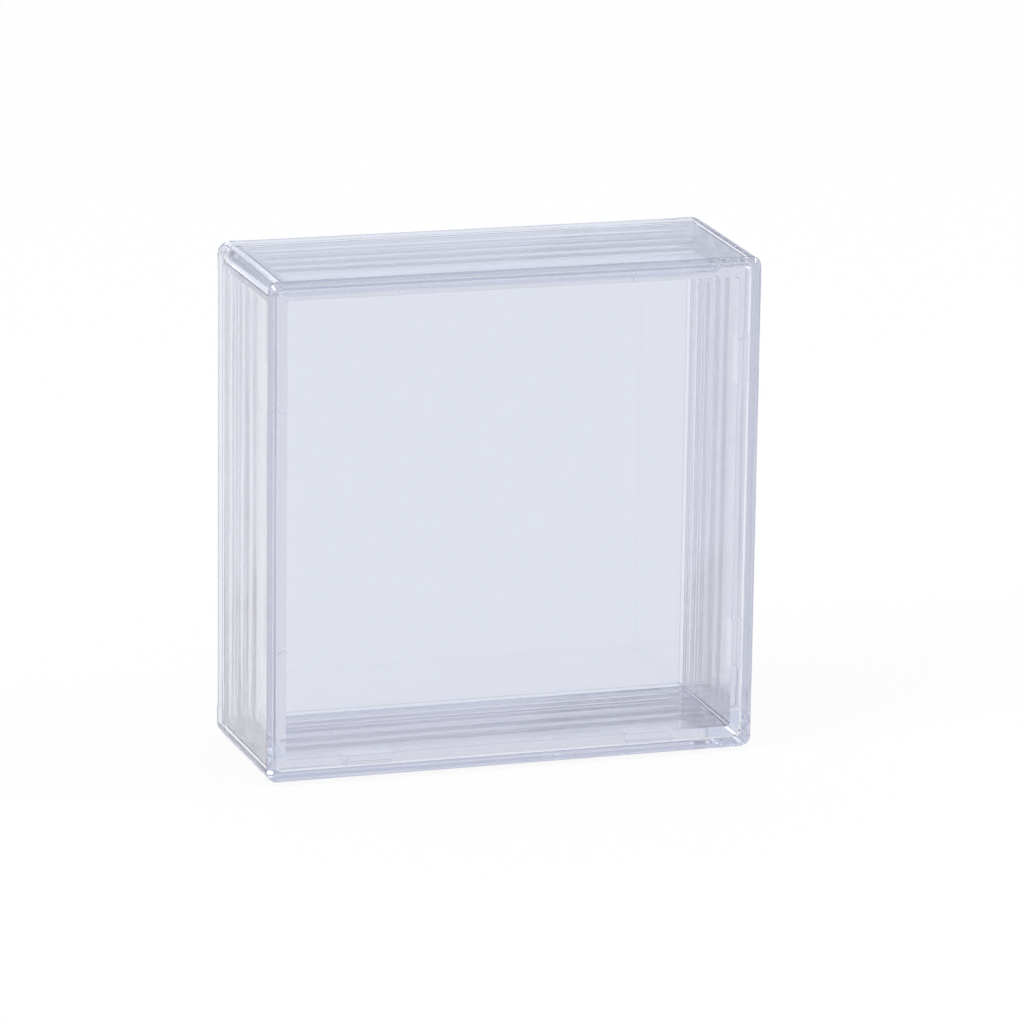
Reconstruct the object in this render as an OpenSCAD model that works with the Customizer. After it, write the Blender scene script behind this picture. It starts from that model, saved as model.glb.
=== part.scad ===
// Clear display case for a hockey puck: a cover that carries the front window slides over a shallow
// tray whose rear rim it seats against. Millimetres, +Z up, front window towards -Y.
// The origin is on the ground, under the middle of the case.

/* [Puck] */
// Diameter of the puck that stands in the case
puck_d = 76.2; // [60:0.1:110]
// Thickness of the puck
puck_t = 25.4; // [15:0.1:60]
// Free space beside the puck, on each side, at the mouth of the tray
side_play = 1.2; // [0.9:0.05:4]
// Free space along the case between window, puck and tray floor
depth_play = 1; // [1:0.1:12]

/* [Walls] */
// Thickness of the front window
window_t = 2; // [1.4:0.1:3]
// Thickness of the cover's walls where they leave the window
cover_wall = 1.65; // [1.4:0.05:3]
// Thickness of the tray's walls at their front ends
tray_wall = 1.75; // [1.2:0.05:3]
// Thickness of the tray's floor, which is the back of the case
floor_t = 1.8; // [1.2:0.1:3]
// Mould draft of the cover's outside and of all nested and inner faces, in degrees
draft = 0.8; // [0.1:0.1:1]

/* [Roundings] */
// Radius of the four outer corners at the front
corner_r = 1.8; // [1.4:0.1:3]
// Rounding of the edge around the front window
front_edge_r = 1; // [0.3:0.1:1.2]
// Corner radius of the cover's cavity at the window
cavity_r = 1.2; // [0.5:0.1:1.5]
// Corner radius of the tray's inside at its floor
tray_inside_r = 0.3; // [0.2:0.1:1]

/* [Rear rim] */
// Depth of the tray's rear rim, which is flush with the cover's rear edge
rim_d = 3.6; // [3.4:0.1:8]
// Wall of the rim around the hollow behind the floor
rim_wall = 1.9; // [1.4:0.1:3]
// Rounding of the rim's rear outer edge
rim_edge_r = 0.4; // [0.1:0.05:0.6]
// Length of each leg of a rear corner foot
foot_l = 5; // [3:0.1:12]
// Height of the rear corner feet
foot_h = 0.5; // [0.4:0.1:2]
// Step from the rim's edges to the sides of the feet
foot_step = 0.1; // [0.1:0.05:0.5]

/* [Fits] */
// Clearance between the nested walls, on each side
side_gap = 0.15; // [0.12:0.01:0.4]
// Clearance between the tray's wall ends and the window
front_gap = 0.5; // [0.35:0.05:1]
// Seam between the cover's edge and the rim that it seats against
seam_gap = 0.1; // [0.02:0.01:0.3]
// Height of the grip pads that centre the tray in the cover
pad_h = 0.05; // [0.02:0.01:0.1]
// Width of a grip pad
pad_w = 8.4; // [3:0.1:14]
// Distance from a case side to the nearest edge of a grip pad
pad_start = 13.6; // [7:0.1:16]
// How far the grip pads stand past the tray's wall ends, as stops in front of the window
pad_end = 0.25; // [0.1:0.05:0.3]

/* [Hidden] */
$fn = 64;

// The case grows around the puck: play, tray wall, clearance and cover wall on every side of the front
slope = tan(draft);
case_half = puck_d / 2 + side_play + tray_wall + side_gap + cover_wall;
outline_reach = case_half - corner_r;
tray_floor_at = window_t + puck_t + depth_play;
rim_half = case_half + tray_floor_at * slope;
case_d = tray_floor_at + rim_d;
total_d = case_d + foot_h;
cover_d = tray_floor_at - seam_gap;
wall_end_at = window_t + front_gap;
clear_plastic = [0.85, 0.88, 0.94, 0.35];
// Cuts and fused pieces reach this far past the face where they end
past = 0.4;

// Half widths of the nested faces at a depth behind the front plane
function cavity_half(depth) = case_half - cover_wall + (depth - window_t) * slope;
function tray_half(depth) = cavity_half(depth) - side_gap;
function inside_half(depth) = puck_d / 2 + side_play - (depth - wall_end_at) * slope;
function hollow_half(depth) = rim_half - rim_wall - (case_d - depth) * slope;

// Sets a shape drawn with its depth along +Z into the case, with the depth along +Y
module in_case() {
    translate([0, -total_d / 2, rim_half])
        rotate([-90, 0, 0])
            children();
}

// Fills a round-cornered square: its first child is the half profile of a corner post, and its
// second child is the full side profile, with depth along the profile's Y
module swept_square(reach) {
    for (x = [-reach, reach], y = [-reach, reach])
        translate([x, y, 0])
            rotate_extrude()
                children(0);
    for (turn = [0, 90])
        rotate([0, 0, turn])
            rotate([90, 0, 0])
                linear_extrude(2 * reach, center = true)
                    children(1);
}

// Drafted block between two depths, with the corner radius given at its narrower end
module drafted_block(from, to, half_from, half_to, radius) {
    reach = min(half_from, half_to) - radius;
    swept_square(reach) {
        polygon([[0, from], [half_from - reach, from], [half_to - reach, to], [0, to]]);
        polygon([[-half_from, from], [half_from, from], [half_to, to], [-half_to, to]]);
    }
}

// Block of the case's outline that widens along its length, with the edge around its first end rounded
module outline_block(half, long, edge_r, widening) {
    corner = half - outline_reach;
    swept_square(outline_reach) {
        intersection() {
            edge_profile(corner, long, edge_r, widening);
            square([corner + widening, long]);
        }
        edge_profile(half, long, edge_r, widening);
    }
}

// Side profile of such a block, with both edges of its first end rounded
module edge_profile(half, long, edge_r, widening) {
    for (side = [-1, 1])
        translate([side * (half - edge_r), edge_r])
            circle(edge_r);
    polygon([[-half, edge_r], [half, edge_r], [half + widening, long], [-half - widening, long]]);
    translate([edge_r - half, 0])
        square([2 * (half - edge_r), long]);
}

module front_cover() {
    deep = cover_d + past;
    color(clear_plastic)
        in_case()
            difference() {
                outline_block(case_half, cover_d, front_edge_r, cover_d * slope);
                drafted_block(window_t, deep, cavity_half(window_t), cavity_half(deep), cavity_r);
            }
}

// Bars across the tray whose ends, cut to the raised outline, are the grip pads
module pad_bars() {
    middle = case_half - pad_start - pad_w / 2;
    for (turn = [0, 90], side = [-1, 1])
        rotate([0, 0, turn])
            translate([side * middle - pad_w / 2, -case_half, 0])
                cube([pad_w, 2 * case_half, case_d]);
}

module grip_pads() {
    from = wall_end_at - pad_end;
    to = tray_floor_at + past;
    intersection() {
        drafted_block(from, to, tray_half(from) + pad_h, tray_half(to) + pad_h, cavity_r);
        pad_bars();
    }
}

// L-shaped feet that stand on the corners of the rear rim
module corner_feet() {
    outer = rim_half - foot_step;
    inner = rim_half - rim_wall + foot_step;
    intersection() {
        difference() {
            drafted_block(case_d - past, total_d, outer, outer, outer - outline_reach);
            drafted_block(case_d - 2 * past, total_d + past, inner, inner, tray_inside_r);
        }
        for (x = [-1, 1], y = [-1, 1])
            translate([x * (rim_half - foot_l / 2), y * (rim_half - foot_l / 2), case_d])
                cube([foot_l, foot_l, 2 * foot_h + 2 * past], center = true);
    }
}

module rear_tray() {
    fused = tray_floor_at + past;
    mouth = wall_end_at - pad_end - past;
    hollow_from = tray_floor_at + floor_t;
    hollow_to = total_d + past;
    color(clear_plastic)
        in_case()
            difference() {
                union() {
                    translate([0, 0, case_d])
                        rotate([180, 0, 0])
                            outline_block(rim_half, rim_d, rim_edge_r, 0);
                    drafted_block(wall_end_at, fused, tray_half(wall_end_at), tray_half(fused),
                        cavity_r - side_gap);
                    grip_pads();
                    corner_feet();
                }
                drafted_block(mouth, tray_floor_at, inside_half(mouth), inside_half(tray_floor_at),
                    tray_inside_r);
                drafted_block(hollow_from, hollow_to, hollow_half(hollow_from), hollow_half(hollow_to),
                    tray_inside_r);
            }
}

front_cover();
rear_tray();
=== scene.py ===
import math

import bpy
import numpy as np
from mathutils import Matrix, Vector


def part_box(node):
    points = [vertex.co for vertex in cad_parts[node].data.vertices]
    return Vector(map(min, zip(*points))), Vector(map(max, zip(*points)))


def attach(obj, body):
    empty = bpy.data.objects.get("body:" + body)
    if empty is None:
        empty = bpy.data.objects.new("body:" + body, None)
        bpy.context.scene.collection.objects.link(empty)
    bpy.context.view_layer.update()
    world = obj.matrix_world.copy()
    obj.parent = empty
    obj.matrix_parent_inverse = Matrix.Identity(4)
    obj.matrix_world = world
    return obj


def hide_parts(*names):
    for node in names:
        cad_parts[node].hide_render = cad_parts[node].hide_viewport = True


bl_info = {
    "name": "Clear Puck Display Case",
    "version": (1, 0, 0),
    "blender": (4, 5, 0),
    "location": "View3D > Sidebar > Display Case",
    "description": "Clear two-part display case: a windowed cover over a rimmed tray, on a studio sweep",
    "category": "Object",
}

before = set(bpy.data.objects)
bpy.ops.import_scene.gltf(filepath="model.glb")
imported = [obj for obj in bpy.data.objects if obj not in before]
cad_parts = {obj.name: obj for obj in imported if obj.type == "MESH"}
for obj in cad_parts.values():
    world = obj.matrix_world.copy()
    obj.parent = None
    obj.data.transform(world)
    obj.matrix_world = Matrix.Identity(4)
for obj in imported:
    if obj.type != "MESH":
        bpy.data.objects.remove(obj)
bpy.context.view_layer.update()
COVER_LOW, COVER_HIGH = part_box("front_cover")
TRAY_LOW, TRAY_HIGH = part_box("rear_tray")
# Depths are counted from the front plane, and both shells lie around one level axis
FRONT = COVER_LOW.y
AXIS_HEIGHT = (TRAY_LOW.z + TRAY_HIGH.z) / 2
MM = 0.001

# Steps in a quarter corner, along a straight side, in a rounding, along a wall and in the sweep's bend
CORNER_STEPS = 16
SIDE_STEPS = 40
FILLET_STEPS = 6
WALL_STEPS = 30
BEND_STEPS = 32
# Columns across the ramp at the end of a foot or at the side of a pad
RAMP_COLUMNS = 10
# Half widths of the ramps at the ends of feet and stops, and along the sides of the grip pads
CRISP_RAMP = 0.12 * MM
SOFT_RAMP = 0.6 * MM
# Depths behind the tray's mouth over which the stops and the grip pads run out into the wall
STOP_RUN = 2.0 * MM
PAD_RUN = 4.0 * MM
# Rows on the flat of the rim, from its outer and inner sides, which a corner foot lifts
RIM_OUTER_ROWS = (0.7 * MM, 0.9 * MM)
RIM_INNER_ROWS = (0.6 * MM, 0.4 * MM)

# Noise levels between which a patch goes from full gloss to its most rubbed
RUB_FROM, RUB_TO = 0.55, 0.85
# Light that the walls carry turns many times before it leaves them
BOUNCES = 96
# Nearest and farthest reach of the camera, in metres
CLIP_NEAR, CLIP_FAR = 0.05, 20.0
# Name, place, edge length and power of each soft box
LAMPS = (
    ("soft_box_left", (-1.2, -0.5, 1.3), 0.6, 14.0),
    ("soft_box_right", (1.3, -0.3, 1.1), 0.5, 8.0),
    ("glint_behind", (0.02, 1.0, 0.48), 0.25, 0.2))
LAMP_TARGET = (0.0, 0.0, 0.04)


def linear(hex_code):
    """Linear light of an sRGB hex colour."""
    srgb = np.array([int(hex_code[i:i + 2], 16) for i in (1, 3, 5)]) / 255
    light = np.where(srgb <= 0.04045, srgb / 12.92, ((srgb + 0.055) / 1.055) ** 2.4)
    return tuple(float(x) for x in light)


def length(name, description, millimetres):
    """A length property, with its default given in millimetres."""
    return bpy.props.FloatProperty(
        name=name, description=description, default=millimetres * MM, min=0.0, precision=5,
        unit="LENGTH", subtype="DISTANCE")


def angle(name, description, degrees):
    """An angle property, with its default given in degrees."""
    return bpy.props.FloatProperty(
        name=name, description=description, default=math.radians(degrees), subtype="ANGLE")


def colour(name, description, hex_code):
    """A colour property, with its default given as an sRGB hex colour."""
    return bpy.props.FloatVectorProperty(
        name=name, description=description, default=linear(hex_code), size=3, min=0.0, max=1.0,
        subtype="COLOR")


class CaseSizes(bpy.types.PropertyGroup):
    """Sizes of the two shells that the frame's boxes don't give."""
    window: length("Window", "Thickness of the front window", 2.0)
    cover_wall: length("Cover wall", "Wall of the cover where it leaves the window", 1.65)
    tray_wall: length("Tray wall", "Wall of the tray at its front end", 1.75)
    tray_floor: length("Tray floor", "Thickness of the back of the case", 1.8)
    side_gap: length("Side gap", "Clearance between the nested walls", 0.15)
    rim_depth: length("Rim depth", "Depth of the tray's rear rim", 3.6)
    rim_wall: length("Rim wall", "Wall of the rim around the hollow behind the floor", 1.9)
    corner: length("Corner", "Radius of the outer corners at the front", 1.8)
    cavity_corner: length("Cavity corner", "Corner radius of the cover's cavity at the window", 1.2)
    inside_corner: length("Inside corner", "Corner radius of the tray's inside at its floor", 0.3)
    front_edge: length("Front edge", "Width of the soft bevel around the window", 0.9)
    bevel_round: length("Bevel rounding", "Rounding of both edges of that bevel", 0.3)
    rim_edge: length("Rim edge", "Rounding of the rim's rear outer edge", 0.4)
    seam_edge: length("Seam edge", "Rounding of the two outer edges that meet at the seam", 0.4)
    edge_break: length("Edge break", "Rounding that polishing leaves on the other outer edges", 0.14)
    foot_length: length("Foot length", "Length of each leg of a rear corner foot", 5.0)
    foot_height: length("Foot height", "Height of the rear corner feet", 0.5)
    foot_step: length("Foot step", "Step from the rim's sides to the sides of the feet", 0.1)
    pad_height: length("Pad height", "Height of the grip pads on the tray's walls", 0.05)
    pad_width: length("Pad width", "Width of a grip pad", 8.4)
    pad_start: length("Pad start", "Distance from a case side to the nearest edge of a pad", 13.6)
    pad_end: length("Pad end", "How far the pads stand past the tray's wall ends", 0.25)
    draft: angle("Draft", "Mould draft of the cover's outside and of all nested and inner faces", 0.8)


class CaseFinish(bpy.types.PropertyGroup):
    """Looks of the clear plastic."""
    tint: colour("Tint", "Colour of the clear plastic, as light through a thin wall shows it", "#fcfcff")
    # Rear grey: a pale grey tint on light that passes the tray's floor and rim
    rear_grey: colour("Haze", "Colour of light that passed the tray's fine-grained floor and rim", "#e1e5ed")
    rear_grey_ramp: length("Haze ramp", "Depth over which that haze sets in, in front of the floor", 0.3)
    core: colour("Core", "Colour of light after its way through thick clear plastic", "#b4b5c9")
    density: bpy.props.FloatProperty(
        name="Density", description="Absorption of the clear plastic per metre", default=16.5)
    ior: bpy.props.FloatProperty(
        name="IOR", description="Refractive index of polystyrene", default=1.59)
    wave_run: length("Wave run", "Length of the moulding's faint waves along a wall", 40.0)
    wave_width: length("Wave width", "Width of those waves, from the window to the rim", 5.0)
    wave_height: length("Wave height", "Height of those waves", 0.02)
    rub_size: length("Rub size", "Size of the patches that handling leaves a little less glossy", 25.0)
    rub: bpy.props.FloatProperty(
        name="Rub", description="Most roughness that handling leaves on the polish", default=0.04)


class StudioSettings(bpy.types.PropertyGroup):
    """Camera, light and backdrop."""
    lens: bpy.props.FloatProperty(
        name="Lens", description="Focal length in millimetres on a 36 mm sensor", default=215.581)
    shift: bpy.props.FloatVectorProperty(
        name="Shift", description="Shift of the picture, as shares of its width",
        default=(0.002375, 0.006477), size=2)
    camera_place: bpy.props.FloatVectorProperty(
        name="Camera", description="Camera position, with the case standing on the origin",
        default=(-0.299895, -0.962187, 0.303228), size=3, subtype="TRANSLATION", unit="LENGTH")
    camera_azimuth: angle("Azimuth", "Heading of the view line, from straight ahead to the right", 17.5261)
    camera_drop: angle("Drop", "Slope of the view line below the horizon", 14.6646)
    camera_roll: angle("Roll", "Turn of the camera about its own view line", 0.7716)
    paper: colour("Paper", "Colour of the floor and backdrop under plain light", "#e6e8ec")
    upper: colour("Upper", "Cooler light of the backdrop above the picture", "#eef4ff")
    upper_from: length("Upper from", "Height at which the cooler light sets in", 50.0)
    upper_to: length("Upper to", "Height above which it is full", 350.0)
    shadow: bpy.props.FloatProperty(
        name="Shadow", description="Share of the paper that takes light and shadow", default=0.08,
        min=0.0, max=1.0, subtype="FACTOR")
    sweep_side: length("Sweep side", "Reach of the paper to the left and right", 4000.0)
    sweep_near: length("Sweep near", "Reach of the floor towards the viewer", 4000.0)
    sweep_far: length("Sweep far", "Reach of the flat floor behind the case", 1200.0)
    sweep_bend: length("Sweep bend", "Radius of the turn from floor to back wall", 500.0)
    sweep_top: length("Sweep top", "Height of the back wall", 3000.0)
    sweep_gap: length("Sweep gap", "Gap that keeps the paper clear of the case", 0.3)


class CaseSettings(bpy.types.PropertyGroup):
    """All settings of the display case."""
    sizes: bpy.props.PointerProperty(type=CaseSizes)
    finish: bpy.props.PointerProperty(type=CaseFinish)
    studio: bpy.props.PointerProperty(type=StudioSettings)


def smooth_step(low, high, values):
    """0 below low, 1 above high, and the cubic 3t^2 - 2t^3 between them."""
    t = np.clip((values - low) / (high - low), 0.0, 1.0)
    return t * t * (3.0 - 2.0 * t)


def square_path(stations):
    """Columns round a square with round corners: unit square points, outward directions and stations.

    On a side the point runs from -1 to 1 along the square's edge and the direction is the side's own.
    On a corner the point rests on the square's corner and the direction turns through a quarter circle.
    """
    angles = np.linspace(0.0, math.pi / 2, CORNER_STEPS + 1)[1:-1]
    side, turning = np.ones(len(stations)), np.ones(len(angles))
    point = np.concatenate([np.stack([side, stations], 1), np.stack([turning, turning], 1)])
    out = np.concatenate([
        np.stack([side, np.zeros(len(stations))], 1),
        np.stack([np.cos(angles), np.sin(angles)], 1)])
    quarter = np.array([[0.0, -1.0], [1.0, 0.0]])
    turns = [np.linalg.matrix_power(quarter, k) for k in range(4)]
    return (np.concatenate([point @ turn.T for turn in turns]),
            np.concatenate([out @ turn.T for turn in turns]),
            np.tile(np.concatenate([stations, turning]), 4))


def rounded_profile(corners):
    """Samples a profile of straight runs and round corners, as rows of half width, reach and depth.

    Each corner is (half width, reach, depth, radius, steps): reach is how far the centres of the ring's
    round corners lie from the axis, radius rounds the corner, and steps divides the run that leads to it.
    A corner's arc is centred where lines at the radius beside both runs meet, and turns from one run's
    normal to the other's. Where a run goes straight on, its points lie along it instead.
    """
    table = np.array(corners, float)
    place = table[:, [0, 2]]
    rows = [np.array([table[0, :3]])]
    for k in range(1, len(table)):
        radius = table[k, 3]
        before = place[k] - place[k - 1]
        before /= np.linalg.norm(before)
        if k == len(table) - 1:
            arc = place[k][None, :]
        else:
            after = place[k + 1] - place[k]
            after /= np.linalg.norm(after)
            turn = math.acos(np.clip(before @ after, -1.0, 1.0))
            if turn < 1e-4:
                arc = place[k] + np.linspace(-1.0, 1.0, FILLET_STEPS + 1)[:, None] * radius * before
            else:
                side = np.sign(before[0] * after[1] - before[1] * after[0])
                inward = side * np.array([-before[1], before[0]])
                centre = place[k] - before * radius * math.tan(turn / 2) + inward * radius
                sweep = np.linspace(0.0, turn, FILLET_STEPS + 1)[:, None]
                arc = centre + radius * (np.sin(sweep) * before - np.cos(sweep) * inward)
        arc = np.stack([arc[:, 0], np.full(len(arc), table[k, 1]), arc[:, 1]], 1)
        share = np.linspace(0.0, 1.0, int(table[k, 4]) + 1)[1:-1, None]
        rows.append(rows[-1][-1] + share * (arc[0] - rows[-1][-1]))
        rows.append(arc)
    return np.concatenate(rows)


def shell_mesh(name, rows, path, outset, depth):
    """Closed mesh of a profile carried round a square path.

    A ring's points are reach * unit square point + (half width - reach + outset) * outward direction, at
    the depth given for each row and column. The first and last rows are the poles on the axis.
    """
    point, out, _ = path
    half, reach = rows[1:-1, 0], rows[1:-1, 1]
    spread = (half - reach)[:, None] + outset
    ring = reach[:, None, None] * point + spread[:, :, None] * out
    grid = np.stack([ring[:, :, 0], depth, ring[:, :, 1]], 2)
    poles = np.array([[0.0, rows[0, 2], 0.0], [0.0, rows[-1, 2], 0.0]])
    count, columns = depth.shape
    around = np.roll(grid, -1, 1) - np.roll(grid, 1, 1)
    padded = np.concatenate([np.broadcast_to(poles[0], (1, columns, 3)), grid,
                             np.broadcast_to(poles[1], (1, columns, 3))])
    normals = np.cross(padded[2:] - padded[:-2], around)
    normals /= np.linalg.norm(normals, axis=2, keepdims=True)
    index = np.arange(count * columns).reshape(count, columns)
    beside = np.roll(index, -1, 1)
    quads = np.stack([index[:-1], index[1:], beside[1:], beside[:-1]], 2).reshape(-1, 4)
    first, last = np.full(columns, count * columns), np.full(columns, count * columns + 1)
    caps = np.concatenate([np.stack([first, index[0], beside[0]], 1),
                           np.stack([last, beside[-1], index[-1]], 1)])
    vertices = np.concatenate([grid.reshape(-1, 3), poles]) + np.array([0.0, FRONT, AXIS_HEIGHT])
    ends = np.array([[0.0, -1.0, 0.0], [0.0, 1.0, 0.0]])
    mesh = bpy.data.meshes.new(name)
    mesh.from_pydata(vertices.tolist(), [], quads.tolist() + caps.tolist())
    mesh.shade_smooth()
    mesh.normals_split_custom_set_from_vertices(
        np.concatenate([normals.reshape(-1, 3), ends]).tolist())
    return mesh


def show_piece(name, mesh, material, body, node):
    """Adds a finished shell, which moves with its body and stands for its solid."""
    piece = bpy.data.objects.new(name, mesh)
    piece.data.materials.append(material)
    bpy.context.scene.collection.objects.link(piece)
    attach(piece, body)
    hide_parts(node)


def add_node(tree, kind, settings=None, values=None, links=None):
    """Adds one shader node with its settings, its socket values and the links into it."""
    node = tree.nodes.new(kind)
    for name, value in (settings or {}).items():
        setattr(node, name, value)
    for socket, value in (values or {}).items():
        node.inputs[socket].default_value = value
    for socket, source in (links or {}).items():
        tree.links.new(source, node.inputs[socket])
    return node


def clear_polystyrene(name, finish, grey_from=None):
    """Injection-moulded clear polystyrene: polished, lavender-grey where light runs far through it.

    The waves of the moulding are noise stretched along the walls, so that the light that the walls carry
    shows as uneven streaks. Given a depth, a pale grey tint sets in there and greys the light that
    passes the back.
    """
    material = bpy.data.materials.new(name)
    material.use_nodes = True
    tree = material.node_tree
    tree.nodes.clear()
    place = add_node(tree, "ShaderNodeTexCoord").outputs["Object"]
    # Waves too low to see by themselves, which break up the reflections inside the walls
    stretched = add_node(tree, "ShaderNodeMapping", values={
        "Scale": (1.0 / finish.wave_run, 1.0 / finish.wave_width, 1.0 / finish.wave_run)}, links={
        "Vector": place})
    flow = add_node(tree, "ShaderNodeTexNoise", values={"Scale": 1.0, "Detail": 1.0}, links={
        "Vector": stretched.outputs[0]})
    waves = add_node(tree, "ShaderNodeBump", values={"Distance": finish.wave_height}, links={
        "Height": flow.outputs[0]})
    # Soft patches of less gloss, as fingers leave them on a clear case
    patches = add_node(tree, "ShaderNodeTexNoise", values={"Scale": 1.0 / finish.rub_size}, links={
        "Vector": place})
    rubbed = add_node(tree, "ShaderNodeMapRange", values={
        "From Min": RUB_FROM, "From Max": RUB_TO, "To Max": finish.rub}, links={
        "Value": patches.outputs[0]})
    plastic = add_node(tree, "ShaderNodeBsdfPrincipled", values={
        "Base Color": (*finish.tint, 1.0), "IOR": finish.ior, "Transmission Weight": 1.0}, links={
        "Roughness": rubbed.outputs[0], "Normal": waves.outputs[0]})
    if grey_from is not None:
        # A pale grey tint from just in front of the floor backwards, greying what is seen through the back
        axes = add_node(tree, "ShaderNodeSeparateXYZ", links={0: place})
        rear = add_node(tree, "ShaderNodeMapRange", {"interpolation_type": "SMOOTHSTEP"}, {
            "From Min": grey_from - finish.rear_grey_ramp, "From Max": grey_from}, {"Value": axes.outputs["Y"]})
        tint = add_node(tree, "ShaderNodeMix", {"data_type": "RGBA"}, {
            6: (*finish.tint, 1.0), 7: (*finish.rear_grey, 1.0)}, {0: rear.outputs[0]})
        tree.links.new(tint.outputs[2], plastic.inputs["Base Color"])
    # Grey-blue depth, seen in the corners and along the edges where the light's way is longest
    depth = add_node(tree, "ShaderNodeVolumeAbsorption", values={
        "Color": (*finish.core, 1.0), "Density": finish.density})
    add_node(tree, "ShaderNodeOutputMaterial", links={
        "Surface": plastic.outputs[0], "Volume": depth.outputs[0]})
    return material


class CASE_OT_front_cover(bpy.types.Operator):
    """Adds the cover: the front window and the four outer walls, open to the rear"""
    bl_idname = "display_case.front_cover"
    bl_label = "Front Cover"

    def execute(self, context):
        settings = context.scene.display_case
        sizes = settings.sizes
        slope = math.tan(sizes.draft)
        deep = COVER_HIGH.y - COVER_LOW.y
        rear = (COVER_HIGH.x - COVER_LOW.x) / 2
        half = rear - deep * slope
        cavity = half - sizes.cover_wall
        reach, cavity_reach = half - sizes.corner, cavity - sizes.cavity_corner
        thin = sizes.edge_break
        rows = rounded_profile([
            (0.0, 0.0, 0.0, 0.0, 1),
            (half - sizes.front_edge, reach, 0.0, sizes.bevel_round, 1),
            (half, reach, sizes.front_edge, sizes.bevel_round, 2),
            (rear, reach, deep, sizes.seam_edge, WALL_STEPS),
            (cavity + (deep - sizes.window) * slope, cavity_reach, deep, thin, 1),
            (cavity, cavity_reach, sizes.window, thin, WALL_STEPS),
            (0.0, 0.0, sizes.window, 0.0, 1)])
        path = square_path(np.linspace(-1.0, 1.0, SIDE_STEPS + 1))
        depth = np.repeat(rows[1:-1, 2:3], len(path[0]), 1)
        mesh = shell_mesh("cover_shell", rows, path, 0.0, depth)
        material = clear_polystyrene("moulded_clear_polystyrene_cover", settings.finish)
        show_piece("cover_shell", mesh, material, "cover", "front_cover")
        return {"FINISHED"}


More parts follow.
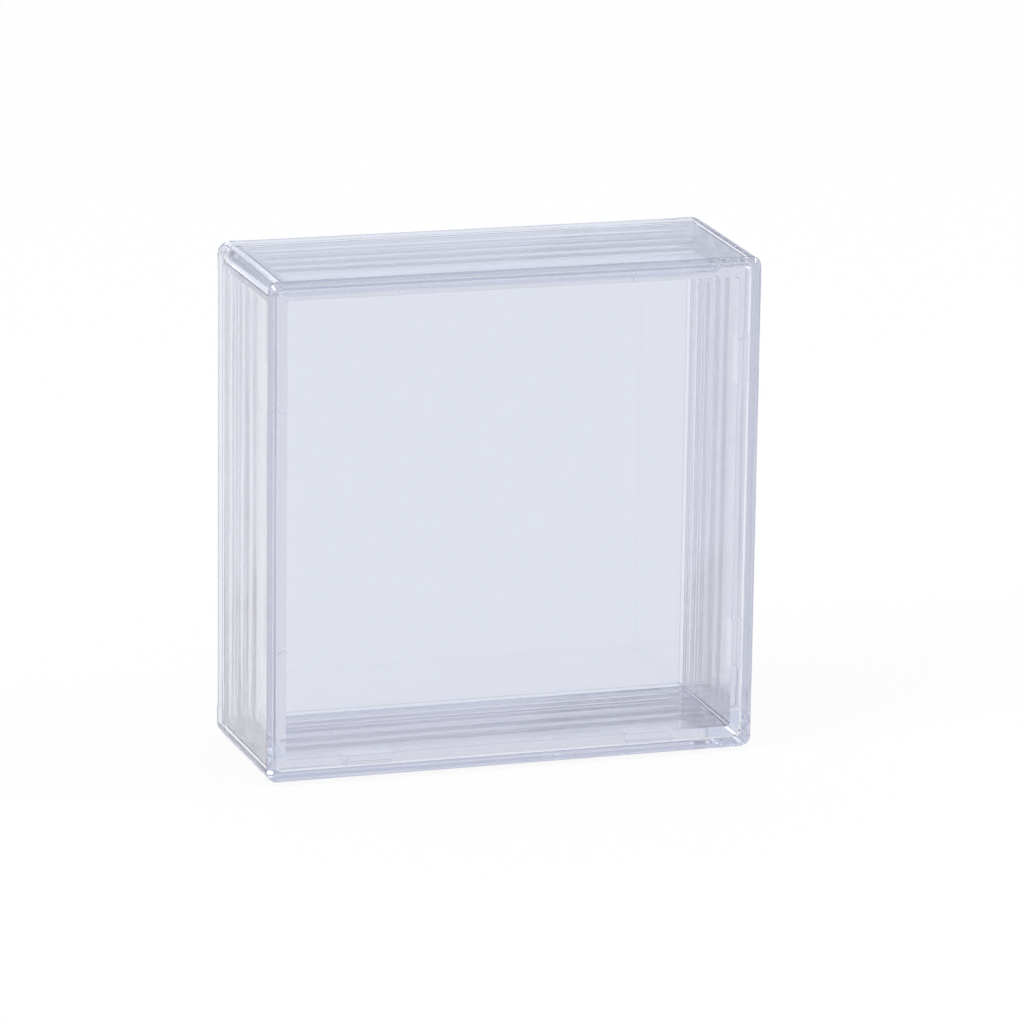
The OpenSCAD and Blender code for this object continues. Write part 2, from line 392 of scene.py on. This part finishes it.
class TrayForm:
    """Half widths, corner reaches and depths of the tray, and the relief on its walls and rim."""

    def __init__(self, sizes):
        slope = math.tan(sizes.draft)
        self.sizes = sizes
        self.mouth = TRAY_LOW.y - FRONT + sizes.pad_end
        self.back = TRAY_HIGH.y - FRONT - sizes.foot_height
        self.floor = self.back - sizes.rim_depth
        self.hollow = self.floor + sizes.tray_floor
        self.half = (TRAY_HIGH.x - TRAY_LOW.x) / 2
        front_half = self.half - self.floor * slope
        cavity = front_half - sizes.cover_wall
        self.outer_mouth = cavity - sizes.side_gap + (self.mouth - sizes.window) * slope
        self.outer_floor = self.outer_mouth + (self.floor - self.mouth) * slope
        self.inner_mouth = cavity - sizes.side_gap - sizes.tray_wall
        self.inner_floor = self.inner_mouth - (self.floor - self.mouth) * slope
        self.rim_in = self.half - sizes.rim_wall
        self.hollow_half = self.rim_in - (self.back - self.hollow) * slope
        self.reach = front_half - sizes.corner
        self.outer_reach = cavity - sizes.cavity_corner
        self.inner_reach = self.inner_floor - sizes.inside_corner
        self.hollow_reach = self.hollow_half - sizes.inside_corner
        self.foot_end = (self.half - sizes.foot_length) / self.reach
        self.pad_high = front_half - sizes.pad_start
        self.pad_low = self.pad_high - sizes.pad_width

    def profiles(self):
        """Rows of the profile across a plain side, and of the one across a corner foot."""
        sizes, half, back, rim_in = self.sizes, self.half, self.back, self.rim_in
        reach, hollow_reach, thin = self.reach, self.hollow_reach, self.sizes.edge_break
        step, top = sizes.foot_step, self.back + sizes.foot_height
        shell = [
            (0.0, 0.0, self.floor, 0.0, 1),
            (self.inner_floor, self.inner_reach, self.floor, thin, 1),
            (self.inner_mouth, self.inner_reach, self.mouth, thin, WALL_STEPS),
            (self.outer_mouth, self.outer_reach, self.mouth, thin, 1),
            (self.outer_floor, self.outer_reach, self.floor, thin, WALL_STEPS),
            (half, reach, self.floor, sizes.seam_edge, 1)]
        rim = [
            (half, reach, back, sizes.rim_edge, 2),
            (half - RIM_OUTER_ROWS[0], reach, back, thin / 2, 1),
            (half - RIM_OUTER_ROWS[1], reach, back, thin / 2, 1),
            (rim_in + RIM_INNER_ROWS[0], hollow_reach, back, thin / 2, 2),
            (rim_in + RIM_INNER_ROWS[1], hollow_reach, back, thin / 2, 1),
            (rim_in, hollow_reach, back, thin, 1)]
        foot = [
            (half, reach, back - 2 * step, thin / 2, 2),
            (half - step, reach, back + step / 2, thin / 2, 1),
            (half - step, reach, top, thin, 1),
            (rim_in + step, hollow_reach, top, thin, 2),
            (rim_in + step, hollow_reach, back, step * 0.4, 1),
            (rim_in, hollow_reach, back, step * 0.4, 1)]
        end = [(self.hollow_half, hollow_reach, self.hollow, thin, 2), (0.0, 0.0, self.hollow, 0.0, 1)]
        return rounded_profile(shell + rim + end), rounded_profile(shell + foot + end)

    def stations(self):
        """Even columns along a side, and close ones at the ends of the feet and beside the pads."""
        spread = np.linspace(-1.0, 1.0, RAMP_COLUMNS)
        fine = np.concatenate(
            [self.foot_end + spread * CRISP_RAMP / self.reach]
            + [(edge + spread * ramp) / self.outer_reach
               for edge in (self.pad_low, self.pad_high) for ramp in (CRISP_RAMP, SOFT_RAMP)])
        return np.unique(np.concatenate([np.linspace(-1.0, 1.0, SIDE_STEPS + 1), fine, -fine]))

    def on_pads(self, along, ramp):
        """1 across the width of a grip pad and 0 beside it, with smooth ramps between."""
        across = along * self.outer_reach
        return (smooth_step(self.pad_low - ramp, self.pad_low + ramp, across)
                - smooth_step(self.pad_high - ramp, self.pad_high + ramp, across))

    def relief(self, rows, footed, along):
        """Outset and depth of each row and column.

        At a foot the plain profile changes into the footed one. Grip pads add their height to the outer
        wall near its mouth, and their ends stand past the mouth as stops.
        """
        ramp = CRISP_RAMP / self.reach
        footing = smooth_step(self.foot_end - ramp, self.foot_end + ramp, along)
        change, level = (footed - rows)[1:-1], rows[1:-1, 2]
        on_wall = np.isclose(rows[1:-1, 1], self.outer_reach)
        near_mouth = on_wall * (1.0 - smooth_step(self.mouth, self.mouth + PAD_RUN, level))
        at_mouth = 1.0 - smooth_step(self.mouth + self.sizes.edge_break, self.mouth + STOP_RUN, level)
        pads = self.sizes.pad_height * near_mouth[:, None] * self.on_pads(along, SOFT_RAMP)
        stops = self.sizes.pad_end * at_mouth[:, None] * self.on_pads(along, CRISP_RAMP)
        return change[:, :1] * footing + pads, level[:, None] + change[:, 2:] * footing - stops


class CASE_OT_rear_tray(bpy.types.Operator):
    """Adds the tray: floor, inner walls with grip pads, rear rim and corner feet"""
    bl_idname = "display_case.rear_tray"
    bl_label = "Rear Tray"

    def execute(self, context):
        settings = context.scene.display_case
        form = TrayForm(settings.sizes)
        rows, footed = form.profiles()
        path = square_path(form.stations())
        outset, depth = form.relief(rows, footed, np.abs(path[2]))
        mesh = shell_mesh("tray_shell", rows, path, outset, depth)
        material = clear_polystyrene(
            "moulded_clear_polystyrene_tray", settings.finish, FRONT + form.floor)
        show_piece("tray_shell", mesh, material, "tray", "rear_tray")
        return {"FINISHED"}


class CASE_OT_stage(bpy.types.Operator):
    """Adds the white sweep, the soft boxes, the world and the camera"""
    bl_idname = "display_case.stage"
    bl_label = "Stage"

    def execute(self, context):
        scene, studio = context.scene, context.scene.display_case.studio
        self.add_sweep(scene, studio)
        self.add_light(scene)
        self.set_world(scene, studio)
        self.add_camera(scene, studio)
        scene.view_settings.view_transform = "Standard"
        scene.cycles.max_bounces = BOUNCES
        scene.cycles.transmission_bounces = BOUNCES
        scene.cycles.glossy_bounces = BOUNCES
        return {"FINISHED"}

    def add_sweep(self, scene, studio):
        """Floor that turns up into a back wall: a line, a quarter circle and a line, drawn out sideways."""
        radius, far = studio.sweep_bend, studio.sweep_far
        bend = np.linspace(0.0, math.pi / 2, BEND_STEPS + 1)
        line = np.concatenate([
            [[-studio.sweep_near, 0.0]],
            np.stack([far + radius * np.sin(bend), radius - radius * np.cos(bend)], 1),
            [[far + radius, studio.sweep_top]]])
        across = np.broadcast_to([-studio.sweep_side, studio.sweep_side], (len(line), 2))
        along = np.broadcast_to(line[:, :1], (len(line), 2))
        height = np.broadcast_to(line[:, 1:] - studio.sweep_gap, (len(line), 2))
        grid = np.stack([across, along, height], 2)
        index = np.arange(2 * len(line)).reshape(-1, 2)
        faces = np.stack([index[:-1, 0], index[:-1, 1], index[1:, 1], index[1:, 0]], 1)
        mesh = bpy.data.meshes.new("sweep")
        mesh.from_pydata(grid.reshape(-1, 3).tolist(), [], faces.tolist())
        mesh.shade_smooth()
        mesh.materials.append(self.white_paper(studio))
        sweep = bpy.data.objects.new("sweep", mesh)
        scene.collection.objects.link(sweep)

    def white_paper(self, studio):
        """Matt paper: white wherever it is seen, also in and through the clear plastic.

        A cooler tone above the picture is what the top of the case mirrors, and a share of plain matt
        paper keeps the shadow.
        """
        material = bpy.data.materials.new("white_paper")
        material.use_nodes = True
        tree = material.node_tree
        tree.nodes.clear()
        place = add_node(tree, "ShaderNodeTexCoord")
        axes = add_node(tree, "ShaderNodeSeparateXYZ", links={0: place.outputs["Object"]})
        above = add_node(tree, "ShaderNodeMapRange", {"interpolation_type": "SMOOTHSTEP"}, {
            "From Min": studio.upper_from, "From Max": studio.upper_to}, {"Value": axes.outputs["Z"]})
        white = add_node(tree, "ShaderNodeMix", {"data_type": "RGBA"}, {
            6: (1.0, 1.0, 1.0, 1.0), 7: (*studio.upper, 1.0)}, {0: above.outputs[0]})
        tone = add_node(tree, "ShaderNodeMix", {"data_type": "RGBA"}, {6: (*studio.paper, 1.0)}, {
            0: self.add_seen(tree), 7: white.outputs[2]})
        glow = add_node(tree, "ShaderNodeEmission", links={"Color": tone.outputs[2]})
        lit = add_node(tree, "ShaderNodeBsdfDiffuse", values={"Color": (*studio.paper, 1.0)})
        mixed = add_node(tree, "ShaderNodeMixShader", values={0: studio.shadow}, links={
            1: glow.outputs[0], 2: lit.outputs[0]})
        add_node(tree, "ShaderNodeOutputMaterial", links={"Surface": mixed.outputs[0]})
        return material

    def add_seen(self, tree):
        """Factor that is 1 for rays that show a thing to the eye: seen, reflected or refracted."""
        path = add_node(tree, "ShaderNodeLightPath")
        mirrored = add_node(tree, "ShaderNodeMath", {"operation": "MAXIMUM"}, links={
            0: path.outputs["Is Camera Ray"], 1: path.outputs["Is Glossy Ray"]})
        seen = add_node(tree, "ShaderNodeMath", {"operation": "MAXIMUM"}, links={
            0: mirrored.outputs[0], 1: path.outputs["Is Transmission Ray"]})
        return seen.outputs[0]

    def add_light(self, scene):
        """Two large soft boxes on the left and right, and a small one behind that glints on the top edge."""
        for name, place, size, power in LAMPS:
            lamp = bpy.data.lights.new(name, "AREA")
            lamp.shape = "SQUARE"
            lamp.size = size
            lamp.energy = power
            light = bpy.data.objects.new(name, lamp)
            light.location = place
            aim = Vector(LAMP_TARGET) - light.location
            light.rotation_euler = aim.to_track_quat("-Z", "Y").to_euler()
            scene.collection.objects.link(light)

    def set_world(self, scene, studio):
        """White room past the sweep, which lights the case like the paper does."""
        world = bpy.data.worlds.new("studio")
        world.use_nodes = True
        tree = world.node_tree
        tree.nodes.clear()
        tone = add_node(tree, "ShaderNodeMix", {"data_type": "RGBA"}, {
            6: (*studio.paper, 1.0), 7: (1.0, 1.0, 1.0, 1.0)}, {0: self.add_seen(tree)})
        room = add_node(tree, "ShaderNodeBackground", links={"Color": tone.outputs[2]})
        add_node(tree, "ShaderNodeOutputWorld", links={"Surface": room.outputs[0]})
        scene.world = world

    def add_camera(self, scene, studio):
        """Camera on the photo's view line, turned by heading, drop and roll."""
        lens = bpy.data.cameras.new("camera")
        lens.lens = studio.lens
        lens.shift_x, lens.shift_y = studio.shift
        lens.clip_start, lens.clip_end = CLIP_NEAR, CLIP_FAR
        camera = bpy.data.objects.new("camera", lens)
        camera.location = studio.camera_place
        turn = (Matrix.Rotation(-studio.camera_azimuth, 3, "Z")
                @ Matrix.Rotation(math.pi / 2 - studio.camera_drop, 3, "X")
                @ Matrix.Rotation(studio.camera_roll, 3, "Z"))
        camera.rotation_euler = turn.to_euler()
        scene.collection.objects.link(camera)
        scene.camera = camera


class CASE_PT_sidebar(bpy.types.Panel):
    """Sizes, finish and studio of the display case, and a button for each piece"""
    bl_idname = "CASE_PT_sidebar"
    bl_label = "Display Case"
    bl_space_type = "VIEW_3D"
    bl_region_type = "UI"
    bl_category = "Display Case"

    def draw(self, context):
        settings = context.scene.display_case
        for group in (settings.sizes, settings.finish, settings.studio):
            box = self.layout.box()
            for name in group.__annotations__:
                box.prop(group, name)
        for operator in OPERATORS:
            self.layout.operator(operator.bl_idname)


OPERATORS = (CASE_OT_front_cover, CASE_OT_rear_tray, CASE_OT_stage)
CLASSES = (CaseSizes, CaseFinish, StudioSettings, CaseSettings, *OPERATORS, CASE_PT_sidebar)


def register():
    for cls in CLASSES:
        bpy.utils.register_class(cls)
    bpy.types.Scene.display_case = bpy.props.PointerProperty(type=CaseSettings)


def unregister():
    del bpy.types.Scene.display_case
    for cls in reversed(CLASSES):
        bpy.utils.unregister_class(cls)


def main():
    """Registers the add-on's classes, then builds the case and its stage."""
    register()
    bpy.ops.display_case.front_cover()
    bpy.ops.display_case.rear_tray()
    bpy.ops.display_case.stage()


if __name__ == "__main__":
    main()
